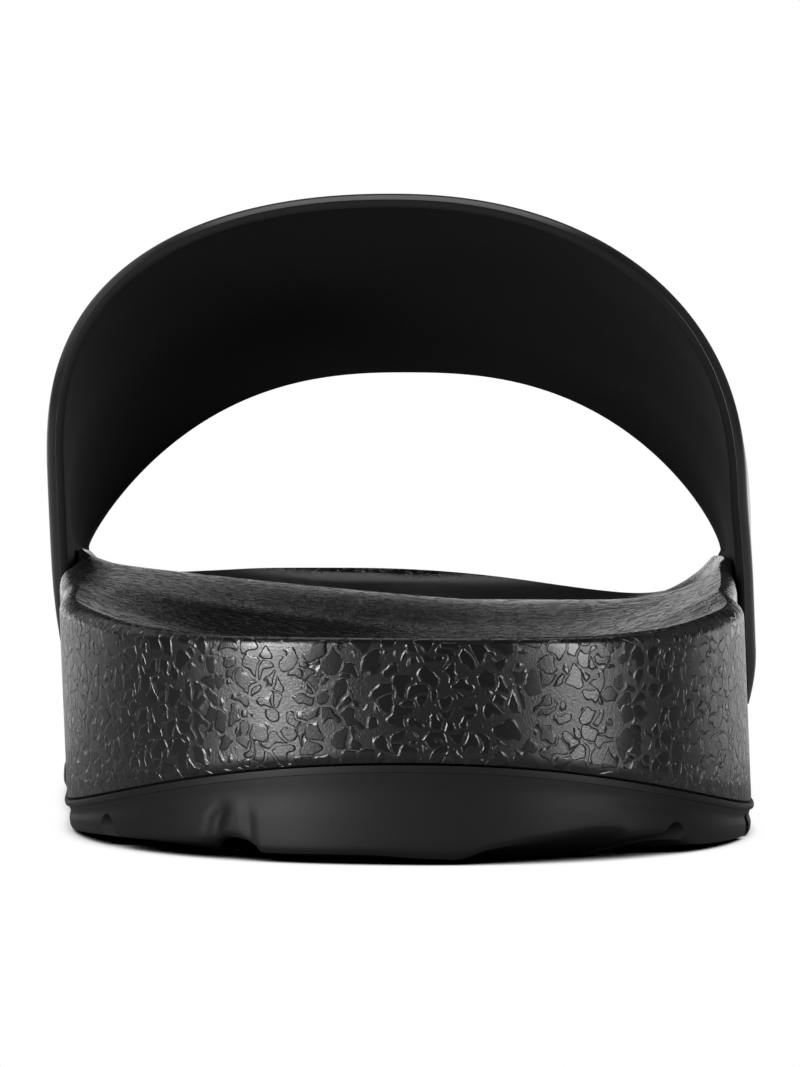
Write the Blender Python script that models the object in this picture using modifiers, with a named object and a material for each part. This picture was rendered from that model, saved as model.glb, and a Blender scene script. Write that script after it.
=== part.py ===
"""Sport slide sandal, right foot: a moulded midsole with its footbed, an outsole and a broad moulded strap.

Metres, +Z up. The toe points along +Y and the lateral side is +X. The sandal stands on the floor at z = 0,
and the origin lies on the floor under the middle of its bounding box.
"""

import math

import bmesh
import bpy
import numpy as np

MM = 0.001

# Overall sizes of the sole
SOLE_LENGTH = 285.0 * MM
HEEL_WIDTH = 82.0 * MM
BALL_WIDTH = 102.4 * MM
HEEL_HEIGHT = 24.7 * MM
TOE_SPRING = 8.0 * MM
TOE_SHIFT = 10.0 * MM
SIDE_LEAN = math.radians(2.6)

# Round ends of the outline: how far each reaches along the sole, and how square it is
HEEL_REACH = 50.0 * MM
HEEL_POWER = 2.2
TOE_REACH = 78.0 * MM
TOE_POWER = 2.2

# Midsole and outsole
RIM_RADIUS = 2.0 * MM
OUTSOLE_EDGE = 3.6 * MM
HEEL_WRAP = 7.3 * MM
HEEL_WRAP_REACH = 46.0 * MM
TOE_WRAP = 3.5 * MM
TOE_WRAP_REACH = 40.0 * MM
FLANGE = 0.5 * MM
FLANGE_HEIGHT = 0.8 * MM
BOTTOM_EDGE_RADIUS = 1.5 * MM
BEVEL_RISE = 3.4 * MM
BEVEL_REACH = 9.0 * MM
SEAM_GAP = 0.3 * MM

# Tread
GROOVE_DEPTH = 2.0 * MM
GROOVE_WIDTH = 2.2 * MM
GROOVE_PITCH = 23.0 * MM
FIRST_GROOVE = 16.0 * MM
GROOVE_WAVE = 1.6 * MM
GROOVE_SKEW = 11.5 * MM
GROOVE_LIFT = 1.8 * MM
SHORT_GROOVE_HALF = 13.0 * MM
CHANNEL_WIDTH = 5.6 * MM
CHANNEL_OFFSET = 18.8 * MM
CHANNEL_END = 96.0 * MM
LATERAL_CHANNEL_START = 30.0 * MM
NOTCH_HEIGHT = 6.8 * MM
NOTCH_DEPTH = 0.8 * MM

# Strap
INSTEP_HEIGHT = 81.2 * MM
STRAP_WALL = 2.4 * MM
STRAP_REAR = 118.0 * MM
STRAP_SPAN = 98.0 * MM
STRAP_SWEEP = 10.0 * MM
SWEEP_POWER = 1.5
MEDIAL_HEM = 10.0 * MM
LATERAL_HEM = 6.0 * MM
STRAP_CORNER = 8.0 * MM
EDGE_ROLL = 2.0 * MM
MEDIAL_HEM_ROLL = 14.0 * MM
LATERAL_HEM_ROLL = 7.0 * MM
EDGE_WALL = 0.45

# Mesh density
HEEL_STEPS = 15
WAIST_STEPS = 17
TOE_STEPS = 15
BED_COLUMNS = 16
BASE_COLUMNS = 6
STRAP_SIDE_STEPS = 9
HEM_CROWDING = 1.5
STRAP_ARCH_STEPS = 16
STRAP_SPAN_STEPS = 10
GROOVE_STEPS = 8

RUBBER_BLACK = (0.021, 0.021, 0.022, 1.0)
FOAM_BLACK = (0.018, 0.018, 0.019, 1.0)
STRAP_BLACK = (0.014, 0.014, 0.015, 1.0)


class Table:
    """Rows of shares with named columns, read smoothly between rows without overshoot."""

    def __init__(self, columns, rows):
        self.columns = columns.split()
        self.rows = np.array(rows, float)
        self.places = self.rows[:, 0]

    def at(self, column, place):
        values = self.rows[:, self.columns.index(column)]
        place = min(max(place, self.places[0]), self.places[-1])
        widths = np.diff(self.places)
        rises = np.diff(values) / widths
        slopes = np.zeros(len(values))
        slopes[0], slopes[-1] = rises[0], rises[-1]
        for k in range(1, len(values) - 1):
            before, after = rises[k - 1], rises[k]
            if before * after > 0:
                slopes[k] = 2.0 * before * after / (before + after)
        k = int(min(np.searchsorted(self.places, place, side="right") - 1, len(widths) - 1))
        t = (place - self.places[k]) / widths[k]
        return float(
            values[k] * (1 + 2 * t) * (1 - t) ** 2
            + values[k + 1] * t * t * (3 - 2 * t)
            + widths[k] * (slopes[k] * t * (1 - t) ** 2 - slopes[k + 1] * t * t * (1 - t))
        )


# Half-widths before the ends are rounded. "ball" says how far a row follows BALL_WIDTH and not HEEL_WIDTH,
# and "medial" and "lateral" are shares of half that width.
OUTLINE = Table(
    "along ball medial lateral",
    [
        (0.000, 0.00, 1.000, 1.000),
        (0.144, 0.00, 1.000, 1.000),
        (0.210, 0.05, 1.006, 0.994),
        (0.263, 0.20, 1.009, 0.991),
        (0.350, 0.40, 1.009, 0.991),
        (0.440, 0.57, 0.988, 0.995),
        (0.525, 0.69, 0.986, 1.010),
        (0.600, 0.85, 0.990, 1.010),
        (0.680, 0.95, 0.998, 1.004),
        (0.750, 1.00, 1.000, 1.004),
        (1.000, 1.00, 1.000, 1.004),
    ],
)

# Heights above the bottom, as shares of HEEL_HEIGHT: the rim on either side, and the lowest line of the bed.
# "lowest" is where that line runs across, from -1 at the medial rim to 1 at the lateral rim. A "hollow" near
# 1 is a straight slope up to the rim, as on the arch, and a larger one is a flat bed with a steep side.
HEIGHTS = Table(
    "along rim_medial rim_lateral bed lowest hollow_medial hollow_lateral",
    [
        (0.000, 1.000, 1.000, 0.990, 0.00, 3.0, 3.0),
        (0.016, 1.000, 1.000, 0.940, 0.00, 3.0, 3.0),
        (0.042, 1.018, 1.016, 0.885, 0.00, 2.9, 2.9),
        (0.100, 1.086, 1.080, 0.845, 0.00, 2.8, 2.8),
        (0.175, 1.128, 1.118, 0.835, 0.05, 2.6, 2.8),
        (0.300, 1.176, 1.160, 0.905, 0.18, 1.5, 3.2),
        (0.440, 1.206, 1.180, 0.990, 0.30, 1.2, 4.5),
        (0.525, 1.220, 1.190, 0.970, 0.22, 3.2, 7.5),
        (0.650, 1.226, 1.196, 0.830, 0.08, 6.0, 10.0),
        (0.745, 1.190, 1.172, 0.748, 0.00, 7.0, 9.0),
        (0.800, 1.078, 1.040, 0.702, 0.00, 4.5, 5.0),
        (0.860, 0.972, 0.838, 0.644, 0.00, 2.9, 3.0),
        (0.912, 0.862, 0.735, 0.611, 0.00, 2.9, 2.8),
        (0.960, 0.770, 0.692, 0.597, 0.00, 2.9, 2.8),
        (0.985, 0.724, 0.688, 0.614, 0.00, 3.0, 3.0),
        (1.000, 0.690, 0.690, 0.675, 0.00, 3.0, 3.0),
    ],
)

# Rounding of the rim as a share of RIM_RADIUS: tight round the heel and along the forefoot.
RIM = Table("along radius", [(0.00, 0.5), (0.175, 1.0), (0.50, 1.0), (0.70, 0.25), (1.00, 0.25)])

# Rise of the bottom towards the toe, as a share of TOE_SPRING.
SPRING = Table(
    "along rise",
    [(0.00, 0.0), (0.70, 0.0), (0.80, 0.08), (0.86, 0.22), (0.912, 0.44), (0.96, 0.72), (1.00, 1.0)],
)

# Wall of the outsole from its bottom edge up to the flange, as shares of the height between them,
# and how far it stands in from the outline, as a share of BOTTOM_EDGE_RADIUS.
OUTSOLE_WALL = Table(
    "up inset",
    [(0.00, 0.50), (0.08, 0.25), (0.24, 0.15), (0.45, 0.12), (0.75, 0.24), (1.00, 0.08)],
)

# Bevel round the rear of the outsole, deepest at the rear lateral corner: the lift of the bottom edge as a
# share of BEVEL_RISE, by the place across the heel, from 0 at the middle to 1 at the side.
BEVEL = Table(
    "across medial lateral",
    [
        (0.00, 0.23, 0.23),
        (0.12, 0.32, 0.18),
        (0.21, 0.32, 0.49),
        (0.39, 0.30, 0.84),
        (0.52, 0.50, 1.00),
        (0.57, 0.52, 0.96),
        (0.60, 0.51, 0.78),
        (0.69, 0.47, 0.76),
        (0.80, 0.40, 0.24),
        (0.93, 0.22, 0.10),
        (1.00, 0.00, 0.00),
    ],
)

# Inner surface of the strap from its rear edge to its front edge. "crown" and "spring" are heights as shares
# of INSTEP_HEIGHT, and "shift" and both "bulge" columns are shares of BALL_WIDTH. Each side of the arch is a
# superellipse with one power over the crown and another down the side.
STRAP = Table(
    "along crown spring shift bulge_medial bulge_lateral over down_medial down_lateral",
    [
        (0.00, 0.9730, 0.507, 0.011, -0.002, -0.005, 2.16, 2.83, 2.36),
        (0.25, 0.9215, 0.484, 0.015, 0.004, 0.000, 2.20, 2.52, 2.28),
        (0.50, 0.8605, 0.447, 0.018, 0.005, 0.003, 2.24, 2.13, 2.16),
        (0.75, 0.7930, 0.395, 0.023, 0.006, 0.003, 2.30, 1.70, 2.06),
        (1.00, 0.7220, 0.367, 0.027, 0.001, 0.012, 2.50, 1.13, 1.30),
    ],
)


def mix(a, b, share):
    return a + (b - a) * share


def smooth(share):
    share = min(max(share, 0.0), 1.0)
    return share * share * (3.0 - 2.0 * share)


def end_round(distance, reach, power):
    """Share of the full width left at a distance from a rounded end."""
    if distance >= reach:
        return 1.0
    return (1.0 - (1.0 - max(distance, 0.0) / reach) ** power) ** (1.0 / power)


def bottom_height(y):
    return TOE_SPRING * SPRING.at("rise", y / SOLE_LENGTH)


def seam_height(y):
    """Height of the outsole's upper edge, which climbs round the back of the heel and a little at the toe."""
    heel = max(1.0 - y / HEEL_WRAP_REACH, 0.0) ** 2
    toe = max(1.0 - (SOLE_LENGTH - y) / TOE_WRAP_REACH, 0.0) ** 2
    return bottom_height(y) + OUTSOLE_EDGE + HEEL_WRAP * heel + TOE_WRAP * toe


def rim_height(y, side):
    column = "rim_medial" if side < 0 else "rim_lateral"
    return bottom_height(y) + HEEL_HEIGHT * HEIGHTS.at(column, y / SOLE_LENGTH)


def rim_radius(y):
    return RIM_RADIUS * RIM.at("radius", y / SOLE_LENGTH)


def wall_x(y, side):
    """Place of the sole's side wall at y, medial for side -1 and lateral for side 1, without the lean."""
    along = y / SOLE_LENGTH
    width = mix(HEEL_WIDTH, BALL_WIDTH, OUTLINE.at("ball", along))
    half = 0.5 * width * OUTLINE.at("medial" if side < 0 else "lateral", along)
    toe = end_round(SOLE_LENGTH - y, TOE_REACH, TOE_POWER)
    rounding = end_round(y, HEEL_REACH, HEEL_POWER) * toe
    return side * half * rounding - TOE_SHIFT * (1.0 - toe)


def bed_height(y, across):
    """Height of the footbed at y, with across from -1 at the medial rim to 1 at the lateral rim."""
    along = y / SOLE_LENGTH
    lowest = HEIGHTS.at("lowest", along)
    bed = bottom_height(y) + HEEL_HEIGHT * HEIGHTS.at("bed", along)
    if across < lowest:
        reach, column, side = (lowest - across) / (lowest + 1.0), "hollow_medial", -1
    else:
        reach, column, side = (across - lowest) / (1.0 - lowest), "hollow_lateral", 1
    return mix(bed, rim_height(y, side), reach ** HEIGHTS.at(column, along))


def leaned(point):
    """The sandal's sides lean: each point moves sideways by its height under the heel's rim."""
    x, y, z = point
    return (x + math.tan(SIDE_LEAN) * (HEEL_HEIGHT - z), y, z)


def station_places():
    """Places along the sole, close together where the ends are round."""
    places = []
    for k in range(HEEL_STEPS):
        angle = 0.5 * math.pi * k / HEEL_STEPS
        places.append(HEEL_REACH * (1.0 - math.cos(angle) ** (2.0 / HEEL_POWER)))
    for k in range(WAIST_STEPS):
        places.append(mix(HEEL_REACH, SOLE_LENGTH - TOE_REACH, k / WAIST_STEPS))
    for k in range(TOE_STEPS, -1, -1):
        angle = 0.5 * math.pi * k / TOE_STEPS
        places.append(SOLE_LENGTH - TOE_REACH * (1.0 - math.cos(angle) ** (2.0 / TOE_POWER)))
    return places


STATIONS = station_places()
LAST = len(STATIONS) - 1


def ring_outline():
    """The outline as a closed ring, up the medial side from heel to toe and back down the lateral side.

    Each entry is the station's number, the side, the point and the outward normal.
    """
    order = [(k, -1) for k in range(LAST + 1)] + [(k, 1) for k in range(LAST - 1, 0, -1)]
    points = [np.array((wall_x(STATIONS[k], side), STATIONS[k])) for k, side in order]
    ring = []
    for n, (k, side) in enumerate(order):
        along = points[(n + 1) % len(points)] - points[n - 1]
        normal = np.array((-along[1], along[0])) / np.linalg.norm(along)
        ring.append((k, side, points[n], normal))
    return ring


RING = ring_outline()


def ring_at(inset, height):
    """A ring of points set in from the outline. Each argument is a function of a ring entry, or a length."""
    points = []
    for entry in RING:
        point = entry[2] - entry[3] * (inset(entry) if callable(inset) else inset)
        points.append((point[0], point[1], height(entry) if callable(height) else height))
    return points


def add_object(name, mesh, material):
    obj = bpy.data.objects.new(name, mesh)
    PARTS.objects.link(obj)
    obj.data.materials.append(material)
    obj.data.shade_smooth()
    obj.data.set_sharp_from_angle(angle=math.radians(35.0))
    return obj


def mesh_from(name, points, faces):
    mesh = bpy.data.meshes.new(name)
    mesh.from_pydata(points, [], faces)
    work = bmesh.new()
    work.from_mesh(mesh)
    bmesh.ops.recalc_face_normals(work, faces=work.faces)
    work.to_mesh(mesh)
    work.free()
    return mesh


def closed_loft(name, rings, lower_shares, lower_height, upper_shares, upper_height):
    """A closed body from rings of equal count, lowest first, with its floor and top spanned side to side.

    The shares say where the columns of each span lie between the medial and the lateral side, and the heights
    are functions of (y, share).
    """
    size = len(RING)
    points = [point for ring in rings for point in ring]
    faces = []
    for level in range(len(rings) - 1):
        low, high = level * size, (level + 1) * size
        for n in range(size):
            after = (n + 1) % size
            faces.append((low + n, low + after, high + after, high + n))

    def span(level, shares, height):
        base = level * size
        rows = [[base]]
        for k in range(1, LAST):
            medial, lateral = base + k, base + size - k
            start, end = np.array(points[medial]), np.array(points[lateral])
            row = [medial]
            for share in shares:
                x, y, _ = mix(start, end, share)
                row.append(len(points))
                points.append((x, y, height(y, share)))
            rows.append(row + [lateral])
        rows.append([base + LAST])
        for first, second in zip(rows[1:-2], rows[2:-1]):
            for c in range(len(first) - 1):
                faces.append((first[c], first[c + 1], second[c + 1], second[c]))
        for tip, row in ((rows[0][0], rows[1]), (rows[-1][0], rows[-2])):
            for c in range(len(row) - 1):
                faces.append((tip, row[c], row[c + 1]))

    span(0, lower_shares, lower_height)
    span(len(rings) - 1, upper_shares, upper_height)
    return mesh_from(name, [leaned(point) for point in points], faces)


def even_shares(count):
    return [k / count for k in range(1, count)]


def crowded_shares(count):
    """Shares from side to side, closer together at the sides."""
    return [0.5 - 0.5 * math.cos(math.pi * k / count) for k in range(1, count)]


def make_midsole(material):
    def wall_point(share):
        def height(e):
            y = STATIONS[e[0]]
            return mix(seam_height(y) + SEAM_GAP, rim_height(y, e[1]) - rim_radius(y), share)

        return height

    def rim_inset(turn):
        return lambda e: rim_radius(STATIONS[e[0]]) * (1.0 - math.cos(turn))

    def rim_point(turn):
        def height(e):
            y = STATIONS[e[0]]
            return rim_height(y, e[1]) - rim_radius(y) * (1.0 - math.sin(turn))

        return height

    rings = [ring_at(0.0, wall_point(share)) for share in (0.0, 0.5, 1.0)]
    for angle in (30.0, 60.0, 90.0):
        turn = math.radians(angle)
        rings.append(ring_at(rim_inset(turn), rim_point(turn)))
    mesh = closed_loft(
        "midsole",
        rings,
        even_shares(BASE_COLUMNS),
        lambda y, share: seam_height(y) + SEAM_GAP,
        crowded_shares(BED_COLUMNS),
        lambda y, share: bed_height(y, 2.0 * share - 1.0),
    )
    return add_object("midsole", mesh, material)


def bevel_lift(entry):
    """Lift of the outsole's bottom edge at a ring entry."""
    column = "medial" if entry[1] < 0 else "lateral"
    return BEVEL_RISE * BEVEL.at(column, end_round(STATIONS[entry[0]], HEEL_REACH, HEEL_POWER))


def make_outsole_blank():
    def edge(e):
        return bottom_height(STATIONS[e[0]]) + bevel_lift(e)

    def wall_height(share):
        return lambda e: mix(edge(e), seam_height(STATIONS[e[0]]) - FLANGE_HEIGHT, share)

    rings = [ring_at(BEVEL_REACH, lambda e: bottom_height(STATIONS[e[0]]))]
    for up in OUTSOLE_WALL.places:
        inset = BOTTOM_EDGE_RADIUS * OUTSOLE_WALL.at("inset", up)
        rings.append(ring_at(inset, wall_height(up)))
    rings.append(ring_at(-FLANGE, lambda e: seam_height(STATIONS[e[0]]) - 0.5 * FLANGE_HEIGHT))
    rings.append(ring_at(-FLANGE, lambda e: seam_height(STATIONS[e[0]])))
    return closed_loft(
        "outsole",
        rings,
        even_shares(BASE_COLUMNS),
        lambda y, share: bottom_height(y),
        even_shares(BASE_COLUMNS),
        lambda y, share: seam_height(y),
    )


def strip_cutter(name, path, width, low, high):
    """An upright bar along a path in plan, for cutting one groove of the tread."""
    path = [np.array(point) for point in path]
    left, right = [], []
    for n, point in enumerate(path):
        along = path[min(n + 1, len(path) - 1)] - path[max(n - 1, 0)]
        across = np.array((-along[1], along[0])) / np.linalg.norm(along)
        left.append(point + 0.5 * width * across)
        right.append(point - 0.5 * width * across)
    border = left + right[::-1]
    count = len(border)
    points = [leaned((x, y, low)) for x, y in border] + [leaned((x, y, high)) for x, y in border]
    faces = [(k, (k + 1) % count, (k + 1) % count + count, k + count) for k in range(count)]
    for base in (0, count):
        for k in range(len(path) - 1):
            faces.append((base + k, base + k + 1, base + count - 2 - k, base + count - 1 - k))
    cutter = bpy.data.objects.new(name, mesh_from(name, points, faces))
    CUTTERS.objects.link(cutter)
    cutter.hide_render = True
    cutter.display_type = "WIRE"
    return cutter


def wave_path(y, half_length):
    """A groove across the sole, bowed towards the toe in the middle and a little skewed."""
    path = []
    for k in range(GROOVE_STEPS + 1):
        share = 2.0 * k / GROOVE_STEPS - 1.0
        bow = GROOVE_WAVE * math.cos(math.pi * share)
        path.append((half_length * share, y + bow - GROOVE_SKEW * share))
    return path


def groove_top(y):
    """Height of a groove's roof, which lifts with the bevel towards the back of the heel."""
    return bottom_height(y) + GROOVE_DEPTH + GROOVE_LIFT * max(1.0 - y / HEEL_REACH, 0.0)


def cut_tread():
    """Cutters for the tread: grooves right across, short ones between, and two channels down the heel."""
    count = int((SOLE_LENGTH - FIRST_GROOVE) / GROOVE_PITCH)
    for k in range(count + 1):
        y = FIRST_GROOVE + k * GROOVE_PITCH
        top = groove_top(y)
        strip_cutter(f"groove_{k}", wave_path(y, BALL_WIDTH), GROOVE_WIDTH, -GROOVE_DEPTH, top)
        between = y + 0.5 * GROOVE_PITCH
        if between < SOLE_LENGTH - GROOVE_PITCH:
            top = groove_top(between)
            path = wave_path(between, SHORT_GROOVE_HALF)
            strip_cutter(f"short_groove_{k}", path, GROOVE_WIDTH, -GROOVE_DEPTH, top)
    for side, name, start in ((-1, "medial", -GROOVE_PITCH), (1, "lateral", LATERAL_CHANNEL_START)):
        path = [(side * CHANNEL_OFFSET, start), (side * CHANNEL_OFFSET, CHANNEL_END)]
        strip_cutter(f"channel_{name}", path, CHANNEL_WIDTH, -GROOVE_DEPTH, GROOVE_DEPTH)
    rear = rear_place(-CHANNEL_OFFSET)
    path = [(-CHANNEL_OFFSET, -GROOVE_PITCH), (-CHANNEL_OFFSET, rear + NOTCH_DEPTH)]
    strip_cutter("heel_notch", path, CHANNEL_WIDTH, -GROOVE_DEPTH, NOTCH_HEIGHT)


def rear_place(x):
    """Where the rear of the outline lies at a place across the heel."""
    share = min(abs(x) / (0.5 * HEEL_WIDTH), 1.0)
    return HEEL_REACH * (1.0 - (1.0 - share**HEEL_POWER) ** (1.0 / HEEL_POWER))


def make_outsole(material):
    outsole = add_object("outsole", make_outsole_blank(), material)
    cut_tread()
    tread = outsole.modifiers.new("tread", "BOOLEAN")
    tread.operation = "DIFFERENCE"
    tread.operand_type = "COLLECTION"
    tread.collection = CUTTERS
    tread.solver = "EXACT"
    return outsole


def strap_section(y, side):
    """Inner surface of the strap at y, as (x, z) points from its hem up to the crown."""
    along = (y - STRAP_REAR) / STRAP_SPAN
    crown = INSTEP_HEIGHT * STRAP.at("crown", along)
    spring = INSTEP_HEIGHT * STRAP.at("spring", along)
    middle = BALL_WIDTH * STRAP.at("shift", along)
    over = STRAP.at("over", along)
    down = STRAP.at("down_medial" if side < 0 else "down_lateral", along)
    wall = wall_x(y, side) + side * SEAM_GAP
    widest = wall + side * BALL_WIDTH * STRAP.at("bulge_medial" if side < 0 else "bulge_lateral", along)
    hem = seam_height(y) + (MEDIAL_HEM if side < 0 else LATERAL_HEM)
    shoulder = rim_height(y, side) - rim_radius(y)
    points = []
    for k in range(STRAP_SIDE_STEPS):
        z = mix(hem, spring, (k / STRAP_SIDE_STEPS) ** HEM_CROWDING)
        share = smooth((z - shoulder) / max(spring - shoulder, MM))
        points.append((mix(wall, widest, share), z))
    for k in range(STRAP_ARCH_STEPS + 1):
        angle = 0.5 * math.pi * k / STRAP_ARCH_STEPS
        reach = max(math.cos(angle), 0.0) ** (2.0 / over)
        rise = math.sin(angle) ** (2.0 / down)
        points.append((mix(middle, widest, reach), mix(spring, crown, rise)))
    return points


def corner_inset(height):
    """How far the strap's rear and front edges step in near its hem, so that the corners are round."""
    share = 1.0 - min(max(height / STRAP_CORNER, 0.0), 1.0)
    return STRAP_CORNER * (1.0 - math.sqrt(1.0 - share * share))


def span_shares():
    """Shares from the strap's rear edge to its front edge, with close rows along both rolled edges."""
    roll = EDGE_ROLL / STRAP_SPAN
    near = [0.0, 0.25 * roll, 0.6 * roll, roll]
    inner = [mix(roll, 1.0 - roll, k / STRAP_SPAN_STEPS) for k in range(1, STRAP_SPAN_STEPS)]
    return near + inner + [1.0 - share for share in reversed(near)]


def strap_side(side):
    """Rows of inner points of one side of the strap, from its hem up, and each point's share of the wall."""
    middle = strap_section(STRAP_REAR + 0.5 * STRAP_SPAN, side)
    hem, crown = middle[0][1], middle[-1][1]
    hem_roll = MEDIAL_HEM_ROLL if side < 0 else LATERAL_HEM_ROLL
    rows, walls = [], []
    for k, (_, z) in enumerate(middle):
        sweep = STRAP_SWEEP * (1.0 - (z - hem) / (crown - hem)) ** SWEEP_POWER
        inset = corner_inset(z - hem)
        rear = STRAP_REAR + sweep + inset
        front = STRAP_REAR + STRAP_SPAN + sweep - inset
        row, wall = [], []
        for share in span_shares():
            y = mix(rear, front, share)
            x, height = strap_section(y, side)[k]
            row.append(leaned((x, y, height)))
            nearest = min(min(share, 1.0 - share) * STRAP_SPAN / EDGE_ROLL, (z - hem) / hem_roll, 1.0)
            wall.append(mix(EDGE_WALL, 1.0, math.sin(0.5 * math.pi * max(nearest, 0.0))))
        rows.append(row)
        walls.append(wall)
    return rows, walls


def make_strap(material):
    """The strap's inner surface, thickened outwards, with a thinner wall along its rolled edges."""
    medial, medial_walls = strap_side(-1)
    lateral, lateral_walls = strap_side(1)
    rows = medial + lateral[-2::-1]
    walls = medial_walls + lateral_walls[-2::-1]
    columns = len(rows[0])
    points = [point for row in rows for point in row]
    faces = []
    for r in range(len(rows) - 1):
        for c in range(columns - 1):
            here = r * columns + c
            faces.append((here, here + columns, here + columns + 1, here + 1))
    mesh = bpy.data.meshes.new("strap")
    mesh.from_pydata(points, [], faces)
    strap = add_object("strap", mesh, material)
    group = strap.vertex_groups.new(name="wall")
    for n, wall in enumerate(wall for row in walls for wall in row):
        group.add([n], wall, "REPLACE")
    shell = strap.modifiers.new("wall", "SOLIDIFY")
    shell.thickness = STRAP_WALL
    shell.offset = 1.0
    shell.vertex_group = group.name
    return strap


def make_material(name, color, roughness):
    material = bpy.data.materials.new(name)
    material.use_nodes = True
    shader = material.node_tree.nodes["Principled BSDF"]
    shader.inputs["Base Color"].default_value = color
    shader.inputs["Roughness"].default_value = roughness
    shader.inputs["Metallic"].default_value = 0.0
    return material


def new_collection(name):
    collection = bpy.data.collections.new(name)
    bpy.context.scene.collection.children.link(collection)
    return collection


def centre_on_floor():
    """Moves the parts and their cutters so that the origin is on the floor under the middle of the sandal."""
    graph = bpy.context.evaluated_depsgraph_get()
    corners = []
    for obj in PARTS.objects:
        mesh = obj.evaluated_get(graph).to_mesh()
        corners += [vertex.co.copy() for vertex in mesh.vertices]
    corners = np.array(corners)
    low, high = corners.min(axis=0), corners.max(axis=0)
    for obj in list(PARTS.objects) + list(CUTTERS.objects):
        obj.location = (-0.5 * (low[0] + high[0]), -0.5 * (low[1] + high[1]), -low[2])


for old in list(bpy.data.objects):
    bpy.data.objects.remove(old)
PARTS = new_collection("slide_sandal")
CUTTERS = new_collection("cutters")
CUTTERS.hide_render = True
make_outsole(make_material("outsole_rubber", RUBBER_BLACK, 0.55))
make_midsole(make_material("midsole_foam", FOAM_BLACK, 0.4))
make_strap(make_material("strap_rubber", STRAP_BLACK, 0.45))
bpy.context.view_layer.update()
centre_on_floor()
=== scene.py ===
"""Looks of the slide sandal: a grained black midsole, a matt rubber outsole and a smooth moulded strap.

Metres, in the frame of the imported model: +Y points to the toe, +X is the lateral side and z = 0 is the floor.
"""

import math
from collections import namedtuple

import bmesh
import bpy
import numpy as np
from mathutils import Matrix, Vector


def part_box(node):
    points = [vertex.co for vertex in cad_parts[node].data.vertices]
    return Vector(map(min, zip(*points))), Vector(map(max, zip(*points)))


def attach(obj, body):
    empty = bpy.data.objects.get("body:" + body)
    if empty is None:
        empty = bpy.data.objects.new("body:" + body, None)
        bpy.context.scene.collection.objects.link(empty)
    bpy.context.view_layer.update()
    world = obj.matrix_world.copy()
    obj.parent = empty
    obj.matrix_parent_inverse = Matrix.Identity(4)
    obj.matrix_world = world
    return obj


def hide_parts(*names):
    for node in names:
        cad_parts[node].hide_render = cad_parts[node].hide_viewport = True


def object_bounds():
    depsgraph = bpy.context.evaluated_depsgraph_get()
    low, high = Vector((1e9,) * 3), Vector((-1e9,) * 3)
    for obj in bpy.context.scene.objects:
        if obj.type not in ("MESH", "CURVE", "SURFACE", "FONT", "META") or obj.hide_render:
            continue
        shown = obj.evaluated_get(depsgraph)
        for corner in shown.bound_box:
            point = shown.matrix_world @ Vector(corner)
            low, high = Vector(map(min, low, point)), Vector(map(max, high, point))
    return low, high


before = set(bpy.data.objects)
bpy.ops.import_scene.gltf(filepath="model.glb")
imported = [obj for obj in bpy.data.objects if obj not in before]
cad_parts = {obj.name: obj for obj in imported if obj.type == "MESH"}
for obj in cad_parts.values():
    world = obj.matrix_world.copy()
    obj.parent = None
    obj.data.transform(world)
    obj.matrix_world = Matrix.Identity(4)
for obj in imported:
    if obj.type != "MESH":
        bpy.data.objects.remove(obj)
cad_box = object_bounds()

MM = 0.001

# Overall sizes of the sole
SOLE_LENGTH = 285.0 * MM
HEEL_WIDTH = 82.0 * MM
BALL_WIDTH = 102.4 * MM
HEEL_HEIGHT = 24.7 * MM
TOE_SPRING = 8.0 * MM
TOE_SHIFT = 10.0 * MM
SIDE_LEAN = math.radians(2.6)

# Round ends of the outline: how far each reaches along the sole, and how square it is
HEEL_REACH = 50.0 * MM
HEEL_POWER = 2.2
TOE_REACH = 78.0 * MM
TOE_POWER = 2.2

# Midsole and outsole
RIM_RADIUS = 2.0 * MM
OUTSOLE_EDGE = 3.6 * MM
HEEL_WRAP = 7.3 * MM
HEEL_WRAP_REACH = 46.0 * MM
TOE_WRAP = 3.5 * MM
TOE_WRAP_REACH = 40.0 * MM
FLANGE = 0.5 * MM
FLANGE_HEIGHT = 0.8 * MM
BOTTOM_EDGE_RADIUS = 1.5 * MM
BEVEL_RISE = 3.4 * MM
BEVEL_REACH = 9.0 * MM
SEAM_GAP = 0.3 * MM

# Share of the flange that is left round the heel, and where along the sole it begins to grow to all of it
HEEL_FLANGE = 0.05
FLANGE_START = 15.0 * MM
FLANGE_GROWTH = 50.0 * MM

# Tread
GROOVE_DEPTH = 2.5 * MM
GROOVE_WIDTH = 3.0 * MM
GROOVE_PITCH = 23.0 * MM
FIRST_GROOVE = 16.0 * MM
GROOVE_WAVE = 1.6 * MM
GROOVE_SKEW = 11.5 * MM
SHORT_GROOVE_HALF = 13.0 * MM
CHANNEL_WIDTH = 5.6 * MM
CHANNEL_OFFSET = 18.8 * MM
CHANNEL_END = 96.0 * MM
LATERAL_CHANNEL_START = 30.0 * MM
GROOVE_LIFT = 1.8 * MM

# Arch that a channel leaves in the heel's lower edge, with its flat and slope as shares of half the
# channel's width
ARCH_RISE = 1.1 * MM
ARCH_MIDDLE = 19.7 * MM
ARCH_FLAT = 0.3
ARCH_SLOPE = 0.8

# Two soft streaks over the arch, which fade out up the wall, by shares of its height
STREAK_DEPTH = 0.6 * MM
STREAK_TOP = 0.35
STREAK_FADE = 0.4
BROAD_STREAK_LOW = 22.1 * MM
BROAD_STREAK_HIGH = 19.8 * MM
BROAD_STREAK_WIDTH = 1.5 * MM
NARROW_STREAK = 17.7 * MM
NARROW_STREAK_WIDTH = 0.8 * MM
NARROW_STREAK_SHARE = 0.5

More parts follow.
